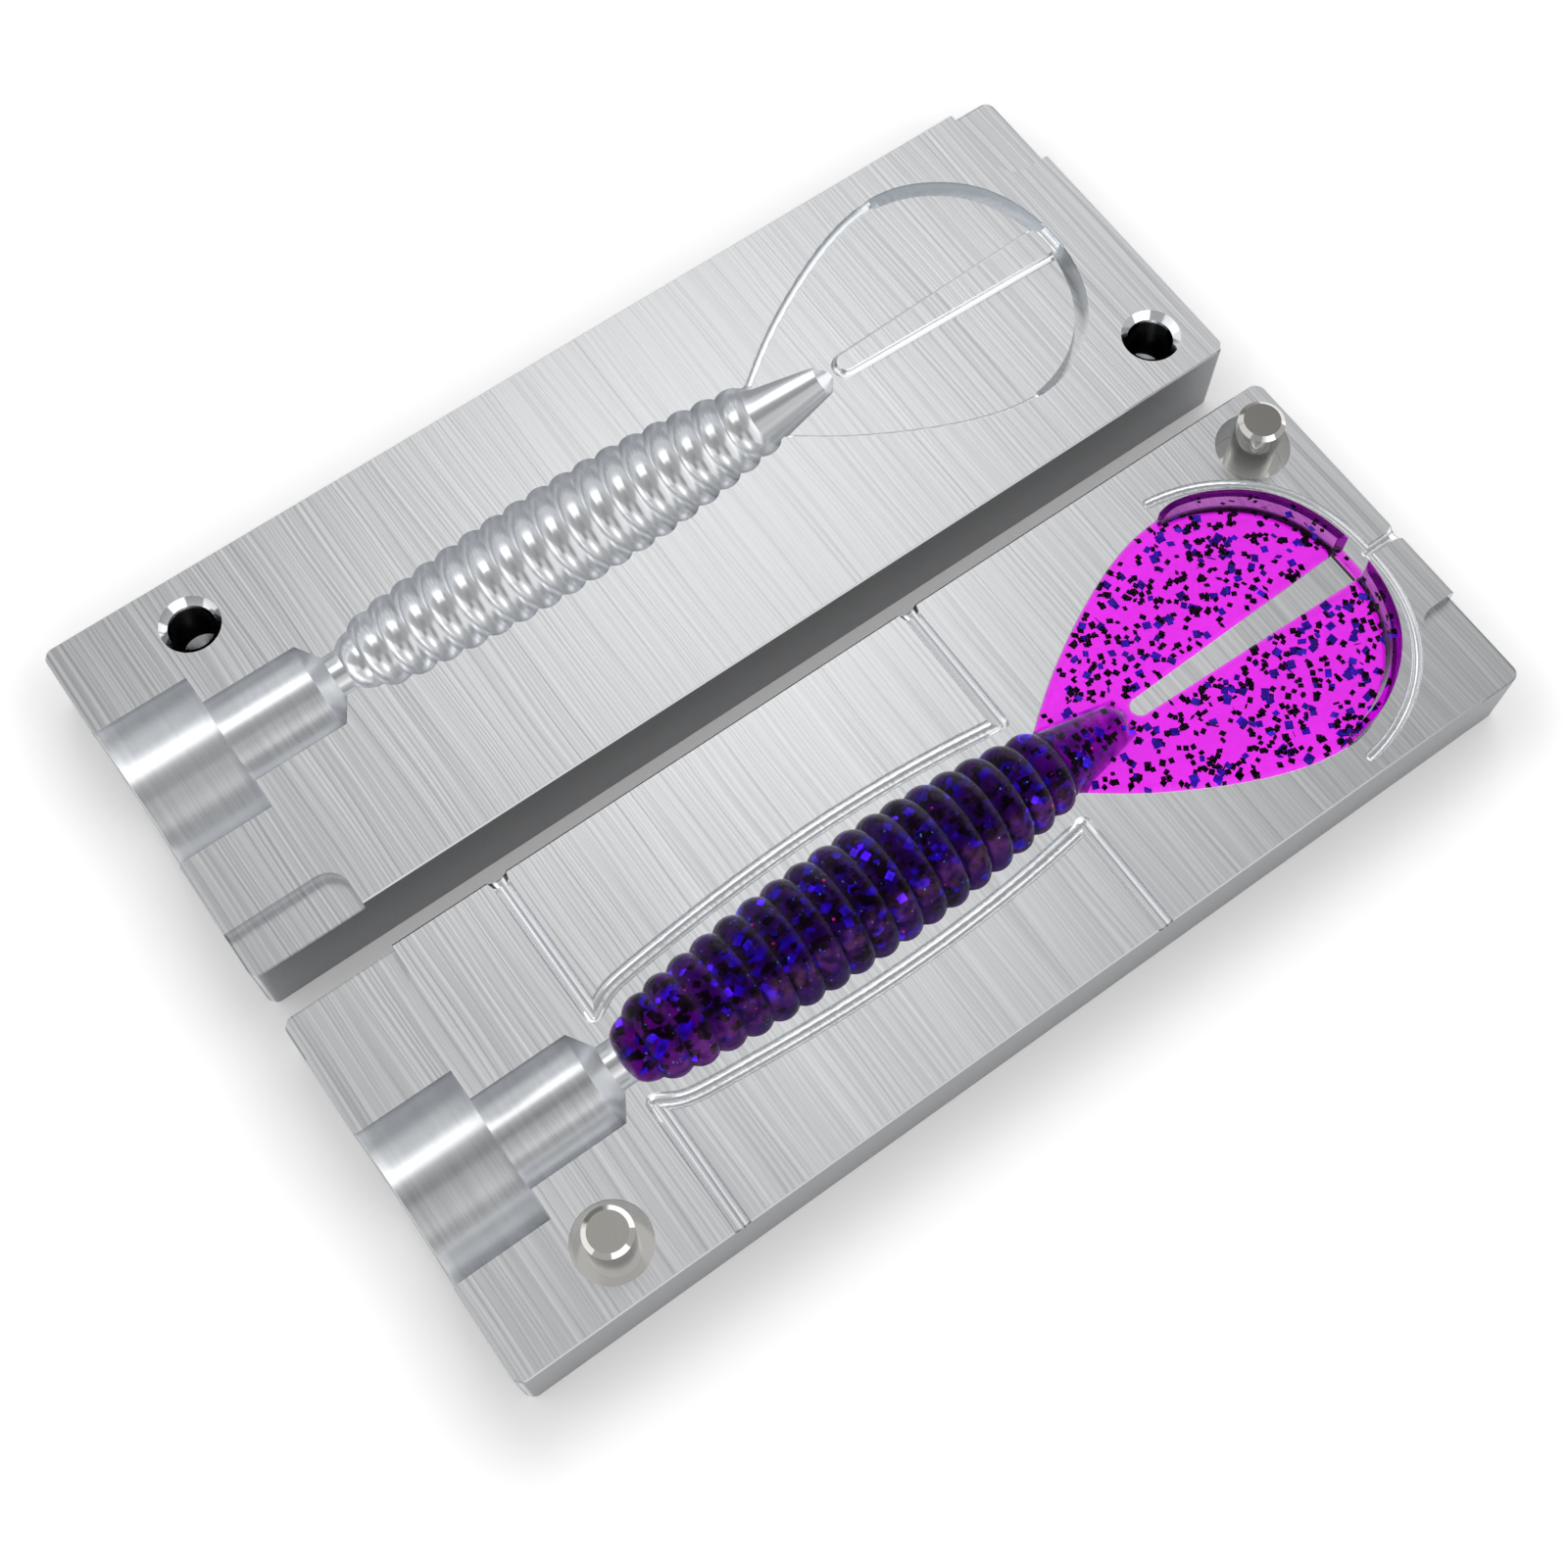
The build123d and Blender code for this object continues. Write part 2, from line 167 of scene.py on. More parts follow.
# ---------------------------------------------------------------- machined aluminium
GUIDE_HOLES = ((-44.6, 36.9), (52.6, 8.1))        # cover half, mm
PIN_WELLS = ((-44.6, -36.9), (52.6, -8.1))        # base half, mm


def reach(n, x, y, spots):
    """Distance in mm to the nearest of the spots."""
    best = None
    for cx, cy in spots:
        d = n.vmath("LENGTH", n.combine(n.math("SUBTRACT", x, cx), n.math("SUBTRACT", y, cy), 0.0))
        best = d if best is None else n.math("MINIMUM", best, d)
    return best


def near(n, dist, radius, soft):
    """1 within a radius of the spots, 0 outside."""
    return n.mapr(dist, radius - soft, radius, 1.0, 0.0)


def fill_ramp(ramp, stops):
    """Stops of a colour ramp from (position, four values)."""
    while len(ramp.elements) > 1:
        ramp.elements.remove(ramp.elements[-1])
    for k, (at, v) in enumerate(stops):
        e = ramp.elements[0] if k == 0 else ramp.elements.new(at)
        e.position = at
        e.color = v


BORE_FLOOR, BORE_RIM = 0.75, 0.72


def aluminium(name):
    m, n = material(name)
    tc = n.new("ShaderNodeTexCoord")
    pos = n.vmath("SCALE", tc.outputs["Object"], scale=1000.0)
    x, y, z = n.xyz(pos)
    nx, ny, nz = n.xyz(tc.outputs["Normal"])
    # brush lines run across the bars: they change fast along X and hardly along Y
    wob = n.noise(n.vmath("MULTIPLY", pos, (0.25, 0.06, 0.0)), 1.0, 0.0, 0.5, "2D")
    line = n.combine(n.math("MULTIPLY_ADD", wob, 0.5, x), y, 0.0)
    coarse = n.noise(n.vmath("MULTIPLY", line, (1.0, 0.015, 0.0)), 1.0, 0.0, 0.5, "2D")
    fine = n.noise(n.vmath("MULTIPLY", line, (2.9, 0.022, 0.0)), 1.0, 0.0, 0.5, "2D")
    hair = n.noise(n.vmath("MULTIPLY", line, (4.6, 0.035, 0.0)), 1.0, 0.0, 0.5, "2D")
    streak = n.math("MULTIPLY_ADD", coarse, 0.14, n.math("MULTIPLY_ADD", fine, 0.54, n.math("MULTIPLY_ADD", hair, 0.32, -0.5)))
    grain = n.math("SUBTRACT", n.noise(pos, 7.0, 1.0, 0.7), 0.5)
    level = n.mapr(n.math("ABSOLUTE", nz), 0.985, 0.999, 0.0, 1.0)
    shallow = n.mapr(z, 7.9, 8.1, 0.0, 1.0)
    deep = n.math("MULTIPLY", n.math("MULTIPLY", n.math("SUBTRACT", 1.0, shallow), n.mapr(z, 0.3, 0.5, 0.0, 1.0)), n.mapr(x, 38.0, 38.4, 1.0, 0.0))
    flat = n.math("MULTIPLY", level, n.math("SUBTRACT", 1.0, deep))  # level faces: parting face, shallow floors and the back
    side = n.mapr(n.math("ABSOLUTE", nz), 0.02, 0.10, 1.0, 0.0)
    outer = n.math("MAXIMUM", n.mapr(n.math("ABSOLUTE", x), 57.6, 57.9, 0.0, 1.0),
                   n.math("MAXIMUM", n.mapr(n.math("ABSOLUTE", y), 42.1, 42.4, 0.0, 1.0),
                          n.mapr(n.math("ABSOLUTE", y), 2.6, 2.9, 1.0, 0.0)))
    side = n.math("MULTIPLY", side, outer)
    to_hole, to_well = reach(n, x, y, GUIDE_HOLES), reach(n, x, y, PIN_WELLS)
    painted_hole_shade = n.math("MULTIPLY", near(n, to_hole, 2.50, 0.04), n.math("MULTIPLY", n.mapr(z, 8.78, 8.90, 1.0, 0.0), n.mapr(n.math("ABSOLUTE", nz), 0.5, 0.9, 1.0, 0.0)))
    well = n.math("MULTIPLY", near(n, to_well, 3.9, 0.04), n.math("MULTIPLY", n.mapr(z, 5.9, 6.1, 1.0, 0.0), n.mapr(z, 0.3, 0.5, 0.0, 1.0)))
    rim = n.math("MAXIMUM", n.mapr(n.math("ABSOLUTE", x), 57.80, 57.86, 0.0, 1.0),
                 n.math("MAXIMUM", n.mapr(n.math("ABSOLUTE", y), 42.30, 42.36, 0.0, 1.0),
                        n.mapr(n.math("ABSOLUTE", y), 2.64, 2.70, 1.0, 0.0)))          # the bars' chamfered outer edges
    cut = n.math("MULTIPLY", n.math("SUBTRACT", 1.0, flat), n.math("SUBTRACT", 1.0, n.math("MAXIMUM", side, rim)))
    sink = n.math("MULTIPLY", n.math("MULTIPLY", near(n, to_hole, 3.20, 0.04), n.mapr(nz, 0.90, 0.95, 1.0, 0.0)), n.mapr(z, 9.0, 9.1, 0.0, 1.0))
    bore = n.math("MULTIPLY", cut, n.mapr(x, -38.0, -37.0, 1.0, 0.0))                   # nozzle seat and bore: faint tool marks
    floor_ = n.math("MULTIPLY", bore, n.mapr(nz, 0.90, 0.985, 0.0, 1.0, smooth=True))    # the bottom of the bores, more marked by the tool and darker
    rim_ = n.math("MULTIPLY", bore, n.mapr(z, 9.15, 9.85, 0.0, 1.0))                     # and their upper edges, darker
    lines = n.math("MULTIPLY", streak, n.math("MAXIMUM", flat, n.math("MULTIPLY", bore, n.mixf(floor_, 0.17, 0.50))))
    tone = n.math("ADD", 1.0, n.math("MULTIPLY", lines, 0.72))
    tone = n.math("MULTIPLY", tone, n.math("MULTIPLY", n.mixf(floor_, 1.0, BORE_FLOOR), n.mixf(rim_, 1.0, BORE_RIM)))
    # painted light and shade: the base's ground face is a little brighter at the pour end than at the tail end, and the
    # cover's a touch brighter, as the light falls along the bars
    base_painted_sweep = n.mixf(n.mapr(y, -32.5, -12.5, 0.0, 1.0), n.mapr(x, -20.0, 40.0, 1.25, 0.90), n.mapr(x, 0.0, 50.0, 1.15, 0.95))
    painted_sweep = n.mixf(n.mapr(y, -0.1, 0.1, 0.0, 1.0), base_painted_sweep, 1.03)
    tone = n.math("MULTIPLY", tone, n.mixf(flat, 1.0, painted_sweep))
    tone = n.math("ADD", tone, n.math("MULTIPLY", grain, n.mixf(side, 0.03, 0.30)))
    # the outer sides are darker: partly a rougher sawn finish, partly painted shade
    tone = n.math("MULTIPLY", tone, n.mixf(side, 1.0, 0.86))
    # painted shade: the chamfered outer edges are darkened, which dims their highlight
    tone = n.math("MULTIPLY", tone, n.mixf(rim, 1.0, 0.75))
    # painted shade: the guide holes' bores are nearly black
    tone = n.math("MULTIPLY", tone, n.mixf(painted_hole_shade, 1.0, 0.02))
    lip_near = n.math("MULTIPLY", n.math("MULTIPLY", n.mapr(x, 39.4, 40.4, 0.0, 1.0), n.mapr(z, 9.90, 9.97, 1.0, 0.0)),
                      n.math("MULTIPLY", n.mapr(y, 8.5, 9.0, 0.0, 1.0), n.mapr(y, 21.6, 22.2, 1.0, 0.0)))
    clear = n.math("SUBTRACT", 1.0, near(n, to_hole, 3.4, 0.1))
    lip_near = n.math("MULTIPLY", n.math("MULTIPLY", lip_near, cut), clear)
    tone = n.math("MULTIPLY", tone, n.mixf(lip_near, 1.0, 0.64))       # the near half of the lip's groove lies in shade
    # the eased edge of the paddle and its slot in the cover: a painted highlight glows where it faces the front panel,
    # painted shade where it faces away
    across = n.math("ABSOLUTE", n.math("SUBTRACT", y, 23.9))
    edge = n.math("MAXIMUM", n.math("MULTIPLY", n.mapr(x, 38.6, 38.8, 1.0, 0.0),
                                    n.mapr(n.math("ADD", across, n.math("MULTIPLY", n.math("SUBTRACT", x, 14.4), 0.22)), 3.95, 4.05, 0.0, 1.0)),
                  n.math("MULTIPLY", n.mapr(across, 3.4, 3.5, 1.0, 0.0), n.mapr(x, 23.3, 23.5, 0.0, 1.0)))
    edge = n.math("MULTIPLY", edge, n.math("MULTIPLY", n.mapr(x, 14.4, 14.8, 0.0, 1.0), n.mapr(x, 50.3, 50.5, 1.0, 0.0)))
    edge = n.math("MULTIPLY", edge, n.math("MULTIPLY", n.mapr(z, 8.9, 9.0, 0.0, 1.0), n.mapr(y, 3.0, 4.0, 0.0, 1.0)))
    edge_highlight_glow = n.math("MULTIPLY", edge, n.math("MULTIPLY", n.mapr(ny, -0.30, -0.12, 1.0, 0.0), n.math("MULTIPLY", n.mapr(nz, 0.68, 0.82, 0.0, 1.0), n.mapr(nz, 0.962, 0.985, 1.0, 0.0))))
    turned_edge_shade = n.math("MULTIPLY", n.math("MULTIPLY", edge, cut), n.mapr(ny, 0.10, 0.25, 0.0, 1.0))
    # painted shade on the part of the eased edge that faces away from the front panel
    tone = n.math("MULTIPLY", tone, n.mixf(turned_edge_shade, 1.0, 0.55))
    # the cut faces are far brighter than the level faces: partly a different finish, partly painted light for the light
    # that bounces about in the cuts
    metal = n.mixc(cut, (0.539, 0.545, 0.556, 1.0), (0.82, 0.836, 0.858, 1.0))
    # painted reflection in the pin wells: walls facing the front are tinted blue-grey, the floor and the rest warm grey
    well_reflection_tint = n.mixc(n.mapr(ny, -0.45, -0.20, 1.0, 0.0), (0.56, 0.545, 0.52, 1.0), (0.46, 0.50, 0.55, 1.0))
    colour = n.mixc(well, n.scalec(metal, tone), well_reflection_tint)
    rough = n.mixf(flat, ROUGH_CUT, ROUGH_FLAT)
    rough = n.mixf(bore, rough, 0.25)
    rough = n.mixf(side, rough, 0.48)
    rough = n.math("ADD", rough, n.math("MULTIPLY", lines, 0.14), clamp=True)
    rough = n.mixf(sink, rough, 0.10)
    rough = n.mixf(well, rough, 0.12)
    bump = n.new("ShaderNodeBump")
    bump.inputs["Strength"].default_value = 1.0
    bump.inputs["Distance"].default_value = 0.000020
    n.put(bump.inputs["Height"], n.math("MULTIPLY", streak, n.math("MULTIPLY", level, shallow)))
    p = n.new("ShaderNodeBsdfPrincipled")
    n.put(p.inputs["Base Color"], colour)
    p.inputs["Metallic"].default_value = 1.0
    n.put(p.inputs["Roughness"], rough)
    n.put(p.inputs["Normal"], bump.outputs[0])
    # painted light: a glow that stands in for light bouncing about in narrow places: the lip's groove, the steep walls
    # at the pour end, the wells; and the painted highlight on the eased edge of the tail
    slot = n.math("MULTIPLY", n.math("MULTIPLY", n.mapr(x, 38.8, 39.0, 0.0, 1.0), n.mapr(y, 8.0, 8.5, 0.0, 1.0)),
                  n.math("MULTIPLY", n.mapr(z, 9.6, 9.9, 1.0, 0.0), n.mapr(nz, 0.5, 0.8, 1.0, 0.0)))
    slot = n.math("MULTIPLY", n.math("MULTIPLY", slot, cut), clear)
    steep = n.math("MULTIPLY", n.math("MULTIPLY", cut, n.mapr(x, -37.5, -37.0, 1.0, 0.0)), n.mapr(nz, 0.20, 0.50, 1.0, 0.0))
    steep = n.math("MULTIPLY", steep, clear)
    pry = n.math("MULTIPLY", n.mapr(y, 5.4, 5.8, 0.0, 1.0), n.mapr(y, 8.2, 8.6, 1.0, 0.0))         # wall of the cover's prying pocket
    steep = n.math("MULTIPLY", steep, n.mixf(pry, 0.025, 0.12))
    painted_bounce_glow = n.math("ADD", n.math("MULTIPLY", slot, 0.11), n.math("ADD", steep, n.math("MULTIPLY", edge_highlight_glow, 0.60)))
    painted_bounce_glow = n.math("ADD", painted_bounce_glow, n.math("MULTIPLY", well, 0.05))
    p.inputs["Emission Color"].default_value = (0.86, 0.93, 0.97, 1.0)
    n.put(p.inputs["Emission Strength"], painted_bounce_glow)
    out = n.new("ShaderNodeOutputMaterial")
    n.link(p.outputs[0], out.inputs["Surface"])
    return m


def steel(name):
    m, n = material(name)
    tc = n.new("ShaderNodeTexCoord")
    pos = n.vmath("SCALE", tc.outputs["Object"], scale=1000.0)
    x, y, z = n.xyz(pos)
    nx, ny, nz = n.xyz(tc.outputs["Normal"])
    flat = n.mapr(nz, 0.97, 0.995, 0.0, 1.0)
    grind = n.math("SUBTRACT", n.noise(n.combine(n.math("MULTIPLY", x, 0.4), n.math("MULTIPLY", y, 0.4), n.math("MULTIPLY", z, 9.0)), 1.0, 2.0, 0.6), 0.5)
    face = n.math("SUBTRACT", n.noise(pos, 4.0, 2.0, 0.6), 0.5)
    wear = n.mixf(flat, grind, face)
    tone = n.math("ADD", 1.0, n.math("MULTIPLY", wear, 0.10))
    p = n.new("ShaderNodeBsdfPrincipled")
    # painted shade: the tail pin's top face is much darker than the pour pin's, both the same steel
    pin_top_shades = n.mixc(n.mapr(x, 0.0, 1.0, 0.0, 1.0), (0.455, 0.442, 0.412, 1.0), (0.20, 0.195, 0.185, 1.0))
    far_chamfer_shade = n.math("MULTIPLY", n.math("MULTIPLY", n.mapr(nz, 0.55, 0.65, 0.0, 1.0), n.mapr(nz, 0.90, 0.95, 1.0, 0.0)), n.mapr(ny, 0.48, 0.54, 0.0, 1.0))
    tone = n.math("MULTIPLY", tone, n.mixf(far_chamfer_shade, 1.0, 0.25))           # painted shade: the far part of the chamfer is darkened
    n.put(p.inputs["Base Color"], n.scalec(n.mixc(flat, (0.68, 0.668, 0.64, 1.0), pin_top_shades), tone))
    p.inputs["Emission Color"].default_value = (0.95, 0.95, 0.92, 1.0)
    n.put(p.inputs["Emission Strength"], n.mapr(z, 9.0, 11.5, 0.09, 0.0))      # painted light: a glow low on the pin, for light caught between pin and well
    p.inputs["Metallic"].default_value = 1.0
    n.put(p.inputs["Roughness"], n.math("ADD", n.mixf(flat, 0.07, 0.10), n.math("MULTIPLY", wear, 0.05)))
    out = n.new("ShaderNodeOutputMaterial")
    n.link(p.outputs[0], out.inputs["Surface"])
    return m


# ---------------------------------------------------------------- soft plastic
CROWN_TINT = (0.26, 0.12, 0.48, 1.0)      # the ribbed body, looked into from the top
FLANK_TINT = (0.50, 0.20, 0.58, 1.0)      # its thinner flanks
ENDS_TINT = (0.90, 0.25, 0.98, 1.0)       # its nose, and the root of the tail


RIB_FIRST, RIB_PITCH = -32.56, 2.7624       # the valleys between the ribs, mm


def soft_plastic(name):
    """Clear magenta plastic that darkens with depth; where it lies against the metal it is backed by a pale skin."""
    m, n = material(name)
    tc = n.new("ShaderNodeTexCoord")
    pos = n.vmath("SCALE", tc.outputs["Object"], scale=1000.0)
    x, y, z = n.xyz(pos)
    above = n.mapr(z, 9.90, 9.99, 0.0, 1.0)
    nx, ny, nz = n.xyz(tc.outputs["Normal"])
    across = n.math("ABSOLUTE", n.math("ADD", y, 23.9))
    half = RIB_PITCH / 2
    valley_shade = n.math("ABSOLUTE", n.math("WRAP", n.math("SUBTRACT", x, RIB_FIRST), half, -half))
    valley_shade = n.math("MULTIPLY", n.mapr(valley_shade, 0.10, 0.45, 1.0, 0.0, smooth=True), n.mapr(x, 14.9, 15.1, 1.0, 0.0))      # 1 on the lines between the ribs
    paddle = n.math("MULTIPLY", n.mapr(x, 14.4, 14.6, 0.0, 1.0),
                    n.mapr(n.math("ADD", across, n.math("MULTIPLY", n.math("SUBTRACT", x, 14.4), 0.22)), 3.85, 3.95, 0.0, 1.0))
    tail = n.math("MAXIMUM", n.mapr(x, 23.2, 23.4, 0.0, 1.0), paddle)
    lip = n.mapr(x, 38.8, 39.0, 0.0, 1.0)
    lip_wall_shade = n.math("MULTIPLY", lip, n.mapr(n.math("ABSOLUTE", nz), 0.40, 0.55, 1.0, 0.0))       # the lip's walls in the base
    sunk = n.math("MULTIPLY", lip, n.mapr(z, 9.0, 9.15, 1.0, 0.0))                             # the lip's floor in the base
    mottle = n.mapr(n.noise(pos, 1.8, 1.0, 0.6), 0.30, 0.70, 0.93, 1.0)
    p = n.new("ShaderNodeBsdfPrincipled")
    backing = n.scalec(n.mixc(tail, (0.46, 0.22, 0.54, 1.0), (1.0, 0.90, 0.95, 1.0)), mottle)
    # painted shade: the backing on the lip's walls in the base is nearly black, and it does not glow
    backing = n.scalec(backing, n.mixf(lip_wall_shade, 1.0, 0.06))
    ends = n.math("MAXIMUM", n.mapr(x, -32.0, -17.0, 1.0, 0.0, smooth=True), n.mapr(x, 10.0, 18.0, 0.0, 1.0, smooth=True))
    tint = n.mixc(n.mapr(across, 1.0, 5.0, 0.0, 1.0, smooth=True), CROWN_TINT, FLANK_TINT)
    tint = n.mixc(ends, tint, ENDS_TINT)
    tint = n.mixc(n.mapr(n.noise(pos, 0.45, 0.0, 0.5), 0.40, 0.62, 0.0, 0.65), tint, (0.10, 0.07, 0.60, 1.0))      # bluer and darker patches from the flakes deep inside
    patch = n.noise(pos, 0.95, 1.0, 0.55)
    tint = n.scalec(tint, n.mapr(patch, 0.34, 0.66, 0.40, 1.45))
    clear = n.mixc(tail, tint, (1.0, 1.0, 1.0, 1.0))
    # painted shade: the lines between the ribs are darkened
    clear = n.scalec(clear, n.mixf(n.math("MULTIPLY", valley_shade, n.math("SUBTRACT", 1.0, tail)), 1.0, 0.45))
    n.put(p.inputs["Base Color"], n.mixc(above, backing, clear))
    n.put(p.inputs["Roughness"], n.mixf(tail, 0.22, 0.10))
    p.inputs["IOR"].default_value = 1.27
    p.inputs["Specular Tint"].default_value = (0.62, 0.25, 0.80, 1.0)
    n.put(p.inputs["Emission Color"], n.scalec(n.scalec((1.0, 0.31, 0.93), mottle), n.mixf(lip_wall_shade, 1.0, 0.0)))
    # painted light: the backing glows under the tail, more on the lip's floor, and faintly at the root of the tail and
    # at the nose
    painted_glow = n.math("MULTIPLY", tail, n.mixf(sunk, 0.44, 0.70))
    root = n.math("MULTIPLY", n.math("SUBTRACT", 1.0, tail), n.math("MULTIPLY", n.mapr(x, 14.0, 22.5, 0.0, 0.34), n.mapr(n.noise(n.combine(n.math("MULTIPLY", x, 1.6), n.math("MULTIPLY", y, 0.5), 0.0), 1.0, 1.0, 0.6), 0.35, 0.65, 0.4, 1.0)))
    nose = n.math("MULTIPLY", n.mapr(x, -30.0, -20.0, 0.07, 0.0, smooth=True), n.mapr(mottle, 0.93, 1.0, 0.2, 1.0))
    painted_glow = n.math("ADD", painted_glow, n.math("ADD", root, nose))
    band = n.math("MULTIPLY", n.mapr(y, -29.2, -28.2, 0.0, 1.0, smooth=True), n.mapr(y, -27.9, -26.4, 1.0, 0.0, smooth=True))
    painted_sheen = n.math("MULTIPLY", n.math("MULTIPLY", band, n.math("SUBTRACT", 1.0, valley_shade)), n.math("SUBTRACT", 1.0, tail))
    painted_sheen = n.math("MULTIPLY", painted_sheen, n.mapr(patch, 0.36, 0.64, 0.0, 0.055))                 # painted sheen along the near flank
    n.put(p.inputs["Emission Strength"], n.mixf(above, painted_glow, painted_sheen))
    n.put(p.inputs["Transmission Weight"], above)
    vol = n.new("ShaderNodeVolumeAbsorption")
    vol.inputs["Color"].default_value = (0.950, 0.0, 0.984, 1.0)
    vol.inputs["Density"].default_value = 1100.0
    out = n.new("ShaderNodeOutputMaterial")
    n.link(p.outputs[0], out.inputs["Surface"])
    n.link(vol.outputs[0], out.inputs["Volume"])
    return m


def flake_material(name, colour, metallic, rough, spread, painted_glow=0.0):
    m, n = material(name)
    tc = n.new("ShaderNodeTexCoord")
    pos = n.vmath("SCALE", tc.outputs["Object"], scale=1000.0)
    tone = n.mapr(n.noise(pos, 0.9, 1.0, 0.5), 0.3, 0.7, 1.0 - spread, 1.0 + spread)
    p = n.new("ShaderNodeBsdfPrincipled")
    n.put(p.inputs["Base Color"], n.scalec(colour, tone))
    p.inputs["Metallic"].default_value = metallic
    p.inputs["Roughness"].default_value = rough
    if not metallic:
        p.inputs["Specular IOR Level"].default_value = 0.0
    # painted glints: a glow given to the violet flakes and the glitter
    n.put(p.inputs["Emission Color"], n.scalec(colour, tone))
    p.inputs["Emission Strength"].default_value = painted_glow
    out = n.new("ShaderNodeOutputMaterial")
    n.link(p.outputs[0], out.inputs["Surface"])
    return m


ALU = aluminium("machined_aluminium")
STEEL = steel("ground_steel")
PLASTIC = soft_plastic("soft_plastic")
for node, mat in (("cover_half", ALU), ("base_half", ALU), ("guide_pin_pour", STEEL),
                  ("guide_pin_tail", STEEL), ("cast_lure", PLASTIC)):
    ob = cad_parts[node]
    ob.data.materials.clear()
    ob.data.materials.append(mat)

# ---------------------------------------------------------------- flakes inside the plastic
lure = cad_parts["cast_lure"]
tree = BVHTree.FromPolygons([tuple(v.co) for v in lure.data.vertices], [tuple(p.vertices) for p in lure.data.polygons])
lure_lo, lure_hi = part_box("cast_lure")


def depth_inside(p):
    """How deep a point lies inside the casting, in metres, negative outside."""
    hit, normal, _, dist = tree.find_nearest(p)
    return dist if (p - hit).dot(normal) < 0 else -dist


def in_tail(p):
    """True in the flat paddle and its lip, False in the ribbed body and its tapered root."""
    x, v = p.x / MM + 58.0, abs(p.y / MM + 23.9)
    return x > 81.3 or (x > 72.5 and v > 3.9 - (x - 72.4) * 0.22)


def flakes(name, mat, count, size, spread, upright, where, thick=0.02, skin=None, cover=0.04):
    """Square flakes scattered through the casting: count, size in mm, how far they may tilt, and in which part of it.
    skin keeps them within that depth in mm of the surface, cover at least that far under it."""
    made = 0
    bm = bmesh.new()
    tries = 0
    while made < count and tries < count * 150:
        tries += 1
        p = Vector((random.uniform(lure_lo.x, lure_hi.x), random.uniform(lure_lo.y, lure_hi.y), random.uniform(lure_lo.z, lure_hi.z)))
        if p.z < 9.35 * MM or (where == "tail") != in_tail(p) or (where == "root" and p.x < 14.5 * MM):
            continue
        s = size * random.uniform(1 - spread, 1 + spread) * MM
        t = thick * MM
        turn = Matrix.Rotation(random.uniform(0, math.tau), 3, "Z")
        tilt = Matrix.Rotation(min(1.45, abs(random.gauss(0, upright))), 3, Vector((math.cos(a := random.uniform(0, math.tau)), math.sin(a), 0)))
        frame3 = tilt @ turn
        w = s * random.uniform(0.80, 1.0)
        corners = [frame3 @ Vector((sx * s / 2, sy * w / 2, sz * t / 2)) for sz in (-1, 1) for sx, sy in ((-1, -1), (1, -1), (1, 1), (-1, 1))]
        deep = depth_inside(p)
        if deep < cover * MM or (skin is not None and deep > skin * MM) or any(depth_inside(p + c * 1.02) < 0.015 * MM for c in corners[4:]):
            continue
        vs = [bm.verts.new(p + c) for c in corners]
        for f in ((3, 2, 1, 0), (4, 5, 6, 7), (0, 1, 5, 4), (1, 2, 6, 5), (2, 3, 7, 6), (3, 0, 4, 7)):
            bm.faces.new([vs[i] for i in f])
        made += 1
    me = bpy.data.meshes.new(name)
    bm.to_mesh(me)
    bm.free()
    me.materials.append(mat)
    ob = bpy.data.objects.new(name, me)
    scene.collection.objects.link(ob)
    ob.visible_glossy = False
    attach(ob, "base")
    return ob


BLACK = flake_material("black_flake", (0.0012, 0.0010, 0.0020), 0.0, 0.6, 0.3)
NAVY = flake_material("navy_flake", (0.030, 0.010, 0.55), 0.6, 0.40, 0.5)
BLUE = flake_material("blue_flake", (0.035, 0.014, 0.70), 0.7, 0.34, 0.80)
VIOLET = flake_material("violet_flake", (0.11, 0.035, 1.0), 0.6, 0.34, 0.5, painted_glow=1.1)
GREEN = flake_material("green_glitter", (0.06, 0.85, 0.50), 0.6, 0.30, 0.5, painted_glow=0.7)
RED = flake_material("red_glitter", (0.75, 0.06, 0.16), 0.6, 0.30, 0.4, painted_glow=0.3)
lure.visible_glossy = False
for name, mat, count, size, spread, tilt, cover in (("tail_black_flakes", BLACK, 670, 0.58, 0.20, 0.55, 0.04),
                                                    ("tail_navy_flakes", NAVY, 190, 0.76, 0.24, 0.50, 0.04)):
    flakes(name, mat, count, size, spread, tilt, "tail", cover=cover).visible_diffuse = False
flakes("body_black_flakes", BLACK, 760, 0.62, 0.25, 0.50, "body", cover=0.75)
flakes("body_blue_flakes", BLUE, 240, 0.72, 0.28, 0.45, "body", cover=0.45)
flakes("body_violet_flakes", VIOLET, 26, 0.62, 0.25, 0.35, "body", skin=1.0, cover=0.25)
flakes("body_glitter", GREEN, 240, 0.12, 0.3, 0.8, "body", thick=0.01, skin=1.2)
flakes("body_red_glitter", RED, 26, 0.24, 0.3, 0.6, "body", thick=0.01, skin=1.2)
flakes("root_black_flakes", BLACK, 44, 0.50, 0.25, 0.60, "root", cover=0.25)
flakes("root_blue_flakes", BLUE, 34, 0.58, 0.28, 0.50, "root", cover=0.25)

